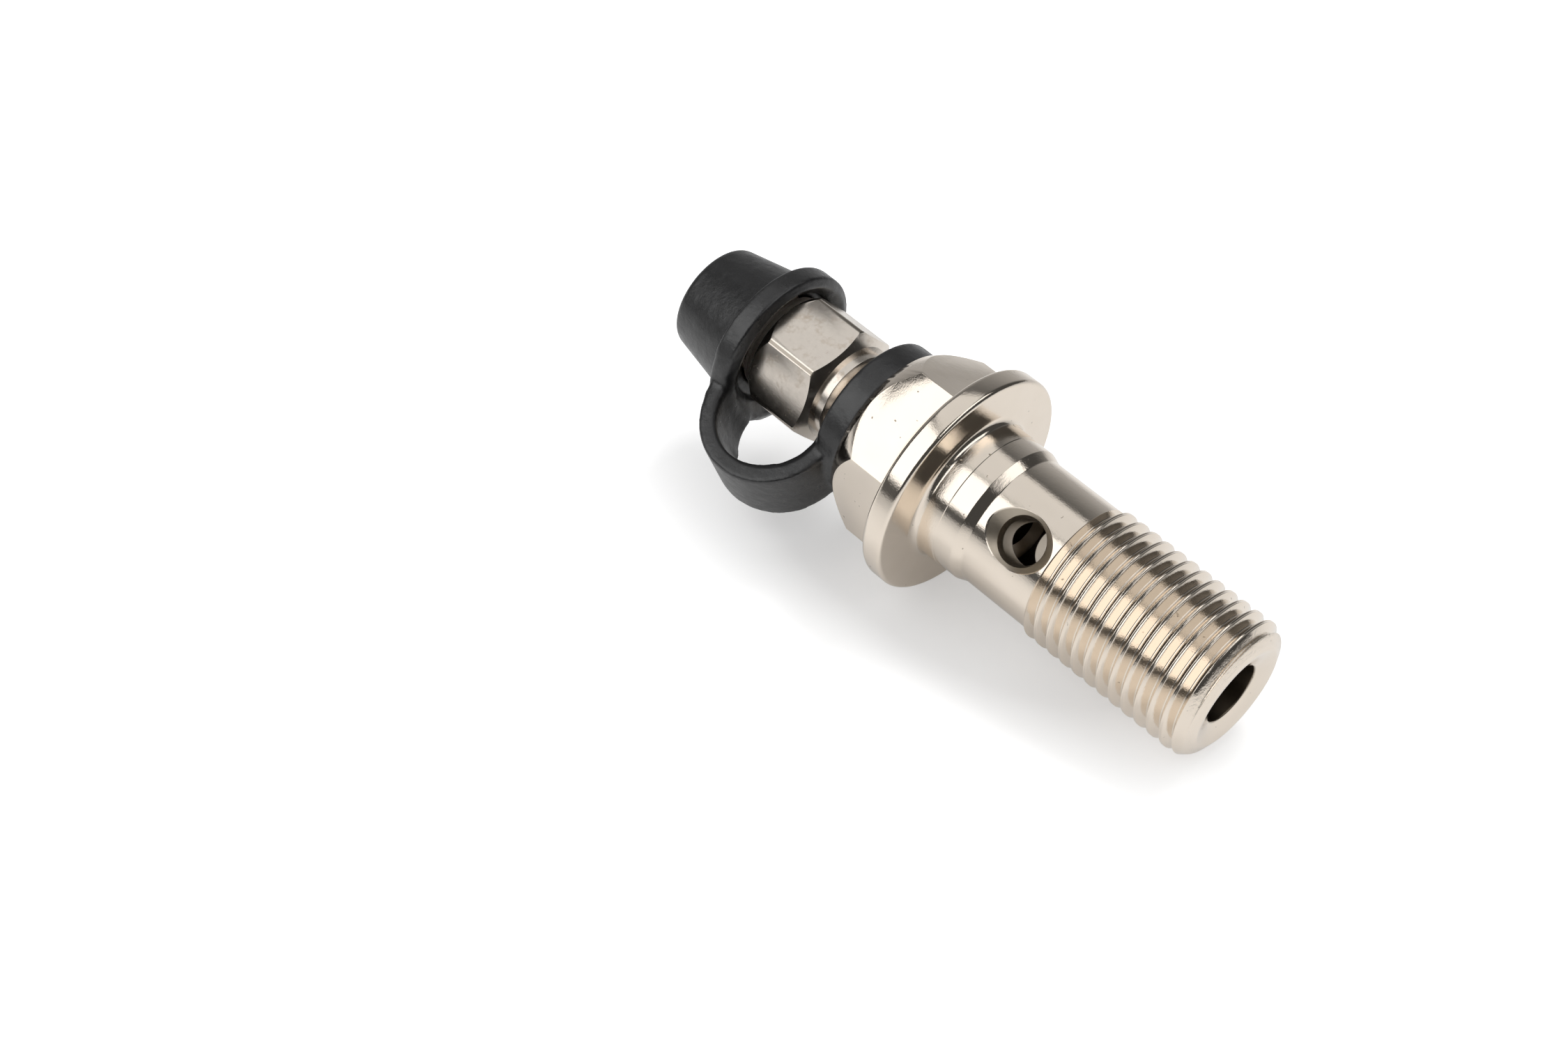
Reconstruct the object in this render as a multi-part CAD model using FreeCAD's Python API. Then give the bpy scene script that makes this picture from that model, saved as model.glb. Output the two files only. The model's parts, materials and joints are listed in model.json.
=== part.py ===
import FreeCAD, Part
import math
import os

# Banjo bolt with a bleeder screw in its head and a rubber dust cap, lying as it rests on a flat
# surface: on the rim of its flange and on the end of its thread. Lengths are in millimetres,
# angles in degrees.
#
# Every piece is drawn on its own axis first. X runs along the bolt from the seat face of the
# flange towards the thread end, and angles about it run from straight up towards the front.

# Banjo bolt: flange and hexagon head
flange_radius = 8.0
flange_rim_thickness = 1.5
flange_front_round = 0.3
flange_back_round = 0.4
flange_back_slope = 0.52
head_across_flats = 12.0
head_length = 6.6
head_corner_angle = 7.0
head_chamfer_length = 1.45
head_edge_length = 0.45
head_edge_depth = 0.3

# Banjo bolt: shoulder, waist and thread
shoulder_radius = 4.96
shoulder_length = 3.15
shoulder_band_length = 1.68
shoulder_band_depth = 0.04
seat_fillet = 0.5
taper_length = 0.72
waist_radius = 4.64
waist_length = 5.3
thread_lead_in = 0.25
thread_radius = 4.93
thread_length = 11.93
end_chamfer_length = 0.6
end_chamfer_depth = 0.48
end_nose_length = 0.35
end_lip_radius = 3.45
end_dish_depth = 0.45

# Banjo bolt: passages
bore_radius = 2.1
bore_point_angle = 118.0
cross_hole_from_seat = 6.7
cross_hole_angle = 48.5
cross_hole_radius = 1.45
cross_hole_sink_radius = 2.4
cross_hole_sink_angle = 100.0
passage_radius = 1.25
passage_length = 1.9
screw_bore_past_seat = 0.9
screw_bore_mouth_chamfer = 0.4
seat_cone_angle = 90.0

# Bleed screw
screw_thread_radius = 3.0
screw_neck_radius = 3.2
screw_neck_length = 0.7
neck_to_head_gap = 3.6
screw_relief_radius = 2.3
screw_relief_length = 2.0
screw_thread_chamfer = 0.35
tip_flat_radius = 0.9
screw_hex_across_flats = 7.95
screw_hex_corner_radius = 4.48
screw_hex_face_radius = 3.55
screw_hex_corner_angle = 46.3
screw_hex_length = 4.9
screw_hex_chamfer_angle = 30.0
screw_collar_radius = 3.6
screw_collar_length = 1.0
nipple_stem_radius = 2.5
nipple_stem_length = 1.6
nipple_barb_radius = 3.1
nipple_barb_length = 3.6
nipple_end_radius = 2.2
drilling_radius = 0.9
port_radius = 0.75

# Dust cap
ring_outer_radius = 5.33
ring_length = 2.05
ring_edge_round = 0.2
mouth_past_hex = 0.4
mouth_radius = 4.7
mouth_depth = 1.0
collar_radius = 5.74
collar_length = 1.65
collar_edge_round = 0.15
collar_back_fillet = 0.4
cap_base_radius = 4.83
cap_tip_radius = 3.77
cap_tip_round = 0.5
cap_length = 7.13
strap_width = 4.8
strap_thickness = 1.0
strap_setback = 0.13
strap_centre_from_axis = 4.87
strap_angle = 116.0
strap_edge_round = 0.18

# Fits and clearances
thread_fit = 0.05
tip_fit = 0.05
rubber_fit = 0.08
cavity_gap = 0.3
ring_seat_gap = 0.05

# How far a cutting or joining solid runs past the face that it has to clear
overrun = 1.0

HEXAGON_SIDES = 6
AXIS = FreeCAD.Vector(1, 0, 0)
ORIGIN = FreeCAD.Vector(0, 0, 0)


def flat_points(points):
    """Points (x, radius) of a half section, as vectors in the plane of the axis."""
    return [FreeCAD.Vector(x, radius, 0) for x, radius in points]


def line(start, end):
    a, b = flat_points([start, end])
    return Part.LineSegment(a, b).toShape()


def arc(start, middle, end):
    a, b, c = flat_points([start, middle, end])
    return Part.Arc(a, b, c).toShape()


def round_edge(start, end, corner):
    """Quarter round between two points, bulging towards the corner between them."""
    bulge = 1 - math.sqrt(0.5)
    middle = [c + (s + e - 2 * c) * bulge for s, e, c in zip(start, end, corner)]
    return arc(start, middle, end)


def nose(start, end):
    """Arc down to a smaller radius, where it ends square to the axis."""
    length = end[0] - start[0]
    depth = start[1] - end[1]
    radius = (length ** 2 + depth ** 2) / (2 * length)
    half_turn = math.asin(depth / radius) / 2
    middle = (end[0] - radius * (1 - math.cos(half_turn)), end[1] + radius * math.sin(half_turn))
    return arc(start, middle, end)


def turned(edges):
    """Solid turned from an open half section, closed along the axis."""
    wire = Part.Wire(edges)
    first = edges[0].firstVertex().Point
    last = edges[-1].lastVertex().Point
    foot = [(last.x, 0), (first.x, 0)]
    closing = [line((last.x, last.y), foot[0]), line(foot[0], foot[1]), line(foot[1], (first.x, first.y))]
    face = Part.Face(Part.Wire(wire.Edges + closing))
    return face.revolve(ORIGIN, AXIS, 360)


def turned_points(points):
    """Solid turned from straight lines through points (x, radius)."""
    return turned([line(a, b) for a, b in zip(points, points[1:])])


def point_about_axis(x, radius, angle):
    """Point at a distance from the axis, its angle taken from straight up towards the front."""
    turn = math.radians(angle)
    return FreeCAD.Vector(x, -radius * math.sin(turn), radius * math.cos(turn))


def corner_of(across_flats):
    return across_flats / 2 / math.cos(math.pi / HEXAGON_SIDES)


def hexagon_bar(across_flats, corner_angle, start, end):
    """Six sided bar along the axis, with a corner at the given angle from straight up."""
    corners = [point_about_axis(start, corner_of(across_flats), corner_angle + k * 360 / HEXAGON_SIDES)
               for k in range(HEXAGON_SIDES)]
    face = Part.Face(Part.makePolygon(corners + corners[:1]))
    return face.extrude(AXIS * (end - start))


# Places along the axis
head_face = -head_length
flange_back = -flange_rim_thickness
shoulder_end = shoulder_length
waist_start = shoulder_end + taper_length
thread_start = waist_start + waist_length
thread_end = thread_start + thread_length
chamfer_end = thread_end + end_chamfer_length
bolt_end = chamfer_end + end_nose_length
screw_bore_end = screw_bore_past_seat
seat_half_angle = math.radians(seat_cone_angle / 2)
screw_bore_radius = screw_thread_radius + thread_fit
seat_cone_end = screw_bore_end + (screw_bore_radius - passage_radius) / math.tan(seat_half_angle)
passage_end = seat_cone_end + passage_length
point_length = (bore_radius - passage_radius) / math.tan(math.radians(bore_point_angle / 2))
bore_start = passage_end + point_length
neck_start = head_face - neck_to_head_gap
hex_start = neck_start - screw_neck_length
hex_end = hex_start - screw_hex_length


def banjo_bolt():
    """Flanged hexagon head bolt, drilled from both ends and across its waist."""
    flat = head_across_flats / 2
    outside = corner_of(head_across_flats) + overrun
    chamfer_slope = (corner_of(head_across_flats) - flat) / head_chamfer_length
    envelope = turned_points([
        (0, outside),
        (head_face + head_edge_length + (outside - flat) / chamfer_slope, outside),
        (head_face + head_edge_length, flat),
        (head_face, flat - head_edge_depth),
    ])
    bar = hexagon_bar(head_across_flats, head_corner_angle, head_face - overrun, overrun)
    hexagon = envelope.common(bar)

    rim_front = -flange_front_round
    rim_back = flange_back + flange_back_round
    front_edge = flange_radius - flange_front_round
    back_edge = flange_radius - flange_back_round
    foot_radius = flat - overrun
    flange = turned([
        round_edge((0, front_edge), (rim_front, flange_radius), (0, flange_radius)),
        line((rim_front, flange_radius), (rim_back, flange_radius)),
        round_edge((rim_back, flange_radius), (flange_back, back_edge), (flange_back, flange_radius)),
        line((flange_back, back_edge),
             (flange_back - (back_edge - foot_radius) * flange_back_slope, foot_radius)),
    ])

    band_radius = shoulder_radius - shoulder_band_depth
    fillet_start = shoulder_radius + seat_fillet
    shank = turned([
        line((flange_back, fillet_start), (0, fillet_start)),
        round_edge((0, fillet_start), (seat_fillet, shoulder_radius), (0, shoulder_radius)),
        line((seat_fillet, shoulder_radius), (shoulder_band_length, shoulder_radius)),
        line((shoulder_band_length, shoulder_radius),
             (shoulder_band_length + shoulder_band_depth, band_radius)),
        line((shoulder_band_length + shoulder_band_depth, band_radius), (shoulder_end, band_radius)),
        line((shoulder_end, band_radius), (waist_start, waist_radius)),
        line((waist_start, waist_radius), (thread_start, waist_radius)),
        line((thread_start, waist_radius), (thread_start + thread_lead_in, thread_radius)),
        line((thread_start + thread_lead_in, thread_radius), (thread_end, thread_radius)),
        line((thread_end, thread_radius), (chamfer_end, thread_radius - end_chamfer_depth)),
        nose((chamfer_end, thread_radius - end_chamfer_depth), (bolt_end, end_lip_radius)),
    ])
    bolt = hexagon.fuse(flange).fuse(shank)

    mouth = screw_bore_radius + screw_bore_mouth_chamfer
    screw_bore = turned_points([
        (head_face - overrun, mouth + overrun),
        (head_face, mouth),
        (head_face + screw_bore_mouth_chamfer, screw_bore_radius),
        (screw_bore_end, screw_bore_radius),
        (seat_cone_end, passage_radius),
        (passage_end, passage_radius),
        (bore_start, bore_radius),
        (bolt_end - end_dish_depth, bore_radius),
        (bolt_end, end_lip_radius),
        (bolt_end + overrun, end_lip_radius),
    ])
    bolt = bolt.cut(screw_bore)

    across = point_about_axis(0, 1, cross_hole_angle)
    centre = FreeCAD.Vector(cross_hole_from_seat, 0, 0)
    reach = waist_radius + overrun
    hole = Part.makeCylinder(cross_hole_radius, 2 * reach, centre - across * reach, across)
    widening = math.tan(math.radians(cross_hole_sink_angle / 2))
    sink_tip = waist_radius - cross_hole_sink_radius / widening
    depth = reach - sink_tip
    for side in (across, across * -1):
        hole = hole.fuse(Part.makeCone(0, widening * depth, depth, centre + side * sink_tip, side))
    return bolt.cut(hole)


def bleed_screw():
    """Hollow screw: cone tip, thread, hexagon and hose nipple in one turned piece."""
    root = screw_bore_end + screw_bore_radius / math.tan(seat_half_angle)
    back_off = tip_fit / math.sin(seat_half_angle)
    tip_start = root - back_off - screw_relief_radius / math.tan(seat_half_angle)
    tip_end = root - back_off - tip_flat_radius / math.tan(seat_half_angle)
    thread_foot = tip_start - screw_relief_length
    shank = turned_points([
        (hex_start - overrun, screw_neck_radius),
        (neck_start, screw_neck_radius),
        (neck_start + screw_neck_radius - screw_thread_radius, screw_thread_radius),
        (thread_foot - screw_thread_chamfer, screw_thread_radius),
        (thread_foot, screw_thread_radius - screw_thread_chamfer),
        (thread_foot, screw_relief_radius),
        (tip_start, screw_relief_radius),
        (tip_end, tip_flat_radius),
    ])

    flat = screw_hex_across_flats / 2
    slope = math.tan(math.radians(screw_hex_chamfer_angle))
    front_chamfer = (screw_hex_corner_radius - screw_hex_face_radius) * slope
    back_chamfer = (screw_hex_corner_radius - flat) * slope
    envelope = turned_points([
        (hex_start, screw_hex_face_radius),
        (hex_start - front_chamfer, screw_hex_corner_radius),
        (hex_end + back_chamfer, screw_hex_corner_radius),
        (hex_end, flat),
    ])
    bar = hexagon_bar(screw_hex_across_flats, screw_hex_corner_angle,
                      hex_end - overrun, hex_start + overrun)
    hexagon = envelope.common(bar)

    collar_end = hex_end - screw_collar_length
    barb_start = collar_end - nipple_stem_length
    nipple_end = barb_start - nipple_barb_length
    nipple = turned_points([
        (hex_end + overrun, screw_collar_radius),
        (collar_end, screw_collar_radius),
        (collar_end, nipple_stem_radius),
        (barb_start, nipple_stem_radius),
        (barb_start, nipple_barb_radius),
        (nipple_end, nipple_end_radius),
    ])
    screw = shank.fuse(hexagon).fuse(nipple)

    port_centre = thread_foot + screw_relief_length / 2
    drilling_end = port_centre + drilling_radius
    drilling = Part.makeCylinder(drilling_radius, drilling_end - nipple_end + overrun,
                                 FreeCAD.Vector(nipple_end - overrun, 0, 0), AXIS)
    port = Part.makeCylinder(port_radius, 2 * screw_thread_radius,
                             FreeCAD.Vector(port_centre, 0, -screw_thread_radius), FreeCAD.Vector(0, 0, 1))
    return screw.cut(drilling).cut(port)


def dust_cap():
    """Rubber cap, loop strap and retaining ring, moulded as one piece."""
    ring_end = head_face - ring_seat_gap
    ring_start = ring_end - ring_length
    mouth = hex_end - mouth_past_hex
    cap = cap_body(mouth).fuse(strap(mouth, ring_start)).fuse(rounded_disc(ring_start, ring_end))
    hole_length = ring_length + 2 * overrun
    hole_foot = FreeCAD.Vector(ring_start - overrun, 0, 0)
    hole = Part.makeCylinder(screw_thread_radius + rubber_fit, hole_length, hole_foot, AXIS)
    return cap.cut(cap_cavity(mouth)).cut(hole)


def rounded_disc(start, end):
    """The retaining ring before its hole is made: a disc with rounded edges."""
    inner = ring_outer_radius - ring_edge_round
    first = start + ring_edge_round
    last = end - ring_edge_round
    return turned([
        round_edge((start, inner), (first, ring_outer_radius), (start, ring_outer_radius)),
        line((first, ring_outer_radius), (last, ring_outer_radius)),
        round_edge((last, ring_outer_radius), (end, inner), (end, ring_outer_radius)),
    ])


def cap_body(mouth):
    """Cap from its mouth to its closed end, before the strap is joined and the inside is made."""
    collar_back = mouth - collar_length
    cap_end = mouth - cap_length
    front = mouth - collar_edge_round
    back = collar_back + collar_edge_round
    edge = collar_radius - collar_edge_round
    cone_slope = (cap_base_radius - cap_tip_radius) / (collar_back - cap_end)

    def cone_radius(x):
        return cap_tip_radius + (x - cap_end) * cone_slope

    fillet_end = collar_back - collar_back_fillet
    foot = cone_radius(collar_back)
    tip_start = cap_end + cap_tip_round
    return turned([
        round_edge((mouth, edge), (front, collar_radius), (mouth, collar_radius)),
        line((front, collar_radius), (back, collar_radius)),
        round_edge((back, collar_radius), (collar_back, edge), (collar_back, collar_radius)),
        line((collar_back, edge), (collar_back, foot + collar_back_fillet)),
        round_edge((collar_back, foot + collar_back_fillet), (fillet_end, cone_radius(fillet_end)),
                   (collar_back, foot)),
        line((fillet_end, cone_radius(fillet_end)), (tip_start, cone_radius(tip_start))),
        round_edge((tip_start, cone_radius(tip_start)), (cap_end, cap_tip_radius - cap_tip_round),
                   (cap_end, cap_tip_radius)),
    ])


def strap(mouth, ring_start):
    """Flat band from the collar round to the ring, in a plane that holds the axis."""
    collar_side = mouth - strap_setback
    ring_side = ring_start + strap_setback
    inner_radius = (ring_side - collar_side) / 2
    outer_radius = inner_radius + strap_thickness
    outward = point_about_axis(0, 1, strap_angle)
    across = AXIS.cross(outward)
    foot = FreeCAD.Vector((collar_side + ring_side) / 2, 0, 0)
    centre = foot + outward * strap_centre_from_axis

    def leg(radius, way):
        """Straight side of the loop, from the axis out to where the loop begins to turn."""
        return Part.LineSegment(foot + AXIS * radius * way, centre + AXIS * radius * way).toShape()

    def turn(radius):
        return Part.Arc(centre + AXIS * radius, centre + outward * radius, centre - AXIS * radius).toShape()

    def end(way):
        side = AXIS * way
        return Part.LineSegment(foot + side * inner_radius, foot + side * outer_radius).toShape()

    edges = [leg(outer_radius, 1), turn(outer_radius), leg(outer_radius, -1), end(-1),
             leg(inner_radius, -1), turn(inner_radius), leg(inner_radius, 1), end(1)]
    wire = Part.Wire(Part.__sortEdges__(edges))
    band = Part.Face(wire).extrude(across * strap_width)
    band.translate(across * (-strap_width / 2))
    long_edges = [edge for edge in band.Edges
                  if abs(abs(middle_of(edge).dot(across)) - strap_width / 2) < strap_edge_round
                  and middle_of(edge).dot(outward) > strap_edge_round]
    return band.makeFillet(strap_edge_round, long_edges)


def middle_of(edge):
    return edge.valueAt((edge.FirstParameter + edge.LastParameter) / 2)


def cap_cavity(mouth):
    """Space inside the cap: wide mouth, then a pocket that follows the hose nipple."""
    barb_start = hex_end - screw_collar_length - nipple_stem_length
    nipple_end = barb_start - nipple_barb_length
    return turned_points([
        (mouth + overrun, mouth_radius),
        (mouth - mouth_depth, mouth_radius),
        (barb_start, nipple_barb_radius + rubber_fit),
        (nipple_end, nipple_end_radius + rubber_fit),
        (nipple_end - cavity_gap, nipple_end_radius + rubber_fit),
    ])


def resting_turn():
    """Angle of the axis to the surface when flange rim and thread end both touch it."""
    return math.degrees(math.atan((flange_radius - thread_radius) / (thread_end + flange_front_round)))


def main():
    pieces = {
        "banjo_bolt": banjo_bolt(),
        "bleed_screw": bleed_screw(),
        "dust_cap": dust_cap(),
    }
    turn = resting_turn()
    lift = (flange_radius * math.cos(math.radians(turn))
            - flange_front_round * math.sin(math.radians(turn)))
    for shape in pieces.values():
        shape.rotate(ORIGIN, FreeCAD.Vector(0, 1, 0), turn)
        shape.translate(FreeCAD.Vector(0, 0, lift))
    box = Part.makeCompound(list(pieces.values())).optimalBoundingBox(False, False)
    middle = FreeCAD.Vector((box.XMin + box.XMax) / 2, (box.YMin + box.YMax) / 2, 0)
    os.makedirs("parts", exist_ok=True)
    for name, shape in pieces.items():
        shape.translate(middle * -1)
        solid = shape.removeSplitter()
        print(name, solid.isValid(), len(solid.Solids), round(solid.Volume, 3))
        solid.exportStep("parts/" + name + ".step")
    print("seat face centre", -middle.x, -middle.y, lift, "turned", turn, "box", box)


main()
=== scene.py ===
import json
import math
import bpy
from mathutils import Matrix, Vector


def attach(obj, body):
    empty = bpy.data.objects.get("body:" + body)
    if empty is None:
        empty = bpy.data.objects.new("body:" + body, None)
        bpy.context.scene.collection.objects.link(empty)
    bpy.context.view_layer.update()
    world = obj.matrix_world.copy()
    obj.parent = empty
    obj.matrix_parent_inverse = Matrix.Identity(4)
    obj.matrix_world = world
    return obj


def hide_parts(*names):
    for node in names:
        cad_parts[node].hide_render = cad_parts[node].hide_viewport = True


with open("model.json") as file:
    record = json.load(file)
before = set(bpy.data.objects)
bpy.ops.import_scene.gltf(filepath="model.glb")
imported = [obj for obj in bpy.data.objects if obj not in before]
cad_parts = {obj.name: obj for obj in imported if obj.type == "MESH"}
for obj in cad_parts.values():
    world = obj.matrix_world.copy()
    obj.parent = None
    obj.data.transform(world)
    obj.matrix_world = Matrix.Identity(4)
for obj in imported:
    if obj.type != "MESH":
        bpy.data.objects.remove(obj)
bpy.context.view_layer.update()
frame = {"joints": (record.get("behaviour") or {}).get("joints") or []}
bpy.ops.object.select_all(action="DESELECT")

# The pieces are modelled on the bolt's own axis in millimetres: X runs from the seat face of the
# flange to the thread end, Z is up and -Y is the front. Angles about the axis run from up to front.
MM = 0.001
ROUND_SIDES = 144
OVERRUN = 1.0
turn_joint = [joint for joint in frame["joints"] if joint["name"] == "bleed_turn"][0]
SEAT = Vector(turn_joint["pos_m"])
BOLT_AXIS = -Vector(turn_joint["axis"]).normalized()
ROW_Y = Vector((0, 1, 0))
BOLT_UP = BOLT_AXIS.cross(ROW_Y)
PLACE = Matrix.Translation(SEAT) @ Matrix((BOLT_AXIS, ROW_Y, BOLT_UP)).transposed().to_4x4()

# Banjo bolt
FLANGE_RADIUS = 8.0
FLANGE_BACK = -1.5
FLANGE_FRONT_ROUND = 0.3
FLANGE_BACK_ROUND = 0.4
FLANGE_BACK_SLOPE = 0.52
HEAD_FACE = -6.6
HEAD_ACROSS_FLATS = 12.0
HEAD_CORNER_ANGLE = 7.0
HEAD_CHAMFER_LENGTH = 1.45
HEAD_EDGE_LENGTH = 0.45
HEAD_EDGE_DEPTH = 0.3
HEAD_EDGE_ROUND = 0.15
SHOULDER_RADIUS = 4.96
SHOULDER_BAND = 1.68
SHOULDER_BAND_DEPTH = 0.04
SHOULDER_END = 3.15
SEAT_FILLET = 0.5
WAIST_START = 3.87
WAIST_RADIUS = 4.64
THREAD_START = 9.17
THREAD_END = 21.1
THREAD_RADIUS = 4.93
THREAD_DEPTH = 0.6
THREAD_LEAD_SLOPE = 1.16
PITCH = 1.0
CREST_PLACE = 11.03
END_CHAMFER = 21.7
END_CHAMFER_RADIUS = 4.45
BOLT_END = 22.05
END_LIP_RADIUS = 3.45
END_DISH = 0.45
BORE_RADIUS = 2.1
CROSS_HOLE_PLACE = 6.7
CROSS_HOLE_ANGLE = 48.5
CROSS_HOLE_RADIUS = 1.45
CROSS_SINK_FLOOR = 1.62
CROSS_SINK_RADIUS = 2.38
SCREW_BORE_RADIUS = 3.05
SCREW_BORE_END = 0.9
SCREW_BORE_CHAMFER = 0.4
PASSAGE_RADIUS = 1.25
PASSAGE_START = 2.7
PASSAGE_END = 4.6
BORE_START = 5.11

# Bleed screw
HEX_START = -10.9
HEX_END = -16.15
HEX_ACROSS_FLATS = 7.95
HEX_CORNER_RADIUS = 4.48
HEX_FACE_RADIUS = 3.55
HEX_CORNER_ANGLE = 46.3
HEX_CHAMFER = 0.577
HEX_END_CHAMFER = 1.47
NECK_START = -10.2
NECK_RADIUS = 3.2
SCREW_THREAD_RADIUS = 2.98
SCREW_THREAD_DEPTH = 0.52
SCREW_THREAD_END = -0.42
RELIEF_RADIUS = 2.3
TIP_START = 1.58
TIP_END = 2.97
TIP_RADIUS = 0.91
HEX_CONE_RADIUS = 3.6
SCREW_COLLAR_END = -17.1
STEM_RADIUS = 2.5
BARB_START = -18.4
BARB_RADIUS = 3.1
NIPPLE_END = -22.0
NIPPLE_RADIUS = 2.2
DRILLING_RADIUS = 0.9
PORT_RADIUS = 0.75
PORT_PLACE = 0.58

# Dust cap
RING_END = -6.65
RING_START = -8.7
RING_RADIUS = 5.33
MOUTH = -16.2
MOUTH_RIM = -16.02
MOUTH_RIM_RADIUS = 5.05
MOUTH_RADIUS = 4.2
MOUTH_DEPTH = 1.0
COLLAR_RADIUS = 5.74
COLLAR_BACK = -17.85
CAP_END = -23.28
CAP_BASE_RADIUS = 4.83
CAP_TIP_RADIUS = 3.77
STRAP_WIDTH = 4.8
STRAP_THICKNESS = 1.0
STRAP_SETBACK = 0.13
STRAP_CENTRE = 4.87
STRAP_ANGLE = 116.0
STRAP_EXTRA = 0.15
STRAP_ROOT = 0.3
STRAP_LEAN = 0.18
STRAP_FLARE = 0.1
RUBBER_FIT = 0.08
CAVITY_GAP = 0.3
CAVITY_PLAY = 0.35
CAP_SHIFT = 0.36
CAP_SHIFT_ANGLE = 130.0

# Studio levels
FLOOR_LEVEL = 0.62
# Floor glow to the camera in the painted shadow under the object, and around it.
GLOW_IN_PAINTED_SHADOW = 0.42
GLOW_AROUND = 0.85
# Floor glow seen in the metal: a painted shadow right under the object, a painted pool of light near it, fading far
# off.
MIRRORED_PAINTED_SHADOW = 0.45
MIRRORED_PAINTED_LIGHT_NEAR = 0.38
MIRRORED_FAR = 0.04
ROOM_LEVEL = 0.06


def rounded(corners, steps=6):
    """Points (x, radius) of a section whose corners (x, radius, rounding) are rounded."""
    points = []
    for k, (x, radius, rounding) in enumerate(corners):
        corner = Vector((x, radius))
        if not rounding:
            points.append(corner)
            continue
        before = (Vector(corners[k - 1][:2]) - corner).normalized()
        after = (Vector(corners[k + 1][:2]) - corner).normalized()
        half = before.angle(after) / 2
        centre = corner + (before + after).normalized() * rounding / math.sin(half)
        reach = rounding / math.tan(half)
        start = corner + before * reach - centre
        end = corner + after * reach - centre
        sweep = start.angle_signed(end)
        for step in range(steps + 1):
            turn = Matrix.Rotation(-sweep * step / steps, 2)
            points.append(centre + turn @ start)
    return points


def edit():
    bpy.ops.object.mode_set(mode="EDIT")


def object_mode():
    bpy.ops.object.mode_set(mode="OBJECT")


def draw_section(name, points):
    """An open line of edges through points (x, radius), drawn above the axis."""
    bpy.ops.object.select_all(action="DESELECT")
    bpy.ops.mesh.primitive_plane_add(size=1)
    piece = bpy.context.object
    piece.name = name
    edit()
    bpy.ops.mesh.select_all(action="SELECT")
    bpy.ops.mesh.merge(type="CENTER")
    bpy.ops.transform.translate(value=(points[0][0], 0, points[0][1]))
    for a, b in zip(points, points[1:]):
        step = (b[0] - a[0], 0, b[1] - a[1])
        bpy.ops.mesh.extrude_region_move(TRANSFORM_OT_translate={"value": step})
    object_mode()
    return piece


def turned(name, corners, sides=ROUND_SIDES, steps=6):
    """Closed shape turned about the axis from a section that starts and ends on it."""
    points = rounded([(corners[0][0], 0, 0), *corners, (corners[-1][0], 0, 0)], steps)
    piece = draw_section(name, points)
    edit()
    bpy.ops.mesh.select_all(action="SELECT")
    bpy.ops.mesh.spin(steps=sides, angle=2 * math.pi, center=(0, 0, 0), axis=(1, 0, 0))
    bpy.ops.mesh.select_all(action="SELECT")
    bpy.ops.mesh.remove_doubles(threshold=0.0005)
    bpy.ops.mesh.normals_make_consistent(inside=False)
    object_mode()
    return piece


def use(piece):
    bpy.ops.object.select_all(action="DESELECT")
    piece.select_set(True)
    bpy.context.view_layer.objects.active = piece


def finish_modifier(piece, kind, **values):
    use(piece)
    bpy.ops.object.modifier_add(type=kind)
    modifier = piece.modifiers[-1]
    for key, value in values.items():
        setattr(modifier, key, value)
    bpy.ops.object.modifier_apply(modifier=modifier.name)


def combine(piece, tool, how):
    """Joins, cuts or keeps what is common with another shape, which is used up."""
    finish_modifier(piece, "BOOLEAN", operation=how, object=tool, solver="EXACT")
    bpy.data.objects.remove(tool)
    return piece


def set_down(piece, matrix):
    use(piece)
    piece.matrix_world = matrix @ piece.matrix_world
    bpy.ops.object.transform_apply(location=True, rotation=True, scale=True)


def weld(piece):
    """Merges the points that the cuts leave on top of each other."""
    use(piece)
    edit()
    bpy.ops.mesh.select_all(action="SELECT")
    bpy.ops.mesh.remove_doubles(threshold=0.0005)
    object_mode()
    return piece


def hexagon_bar(name, across_flats, corner_angle, start, end):
    bpy.ops.object.select_all(action="DESELECT")
    corner = across_flats / 2 / math.cos(math.pi / 6)
    bpy.ops.mesh.primitive_cylinder_add(vertices=6, radius=corner, depth=end - start)
    bar = bpy.context.object
    bar.name = name
    set_down(bar, Matrix.Translation(((start + end) / 2, 0, 0)) @ Matrix.Rotation(math.pi / 2, 4, "Y"))
    point = bar.data.vertices[0].co
    angle = math.atan2(-point.y, point.z)
    set_down(bar, Matrix.Rotation(math.radians(corner_angle) - angle, 4, "X"))
    return bar


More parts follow.
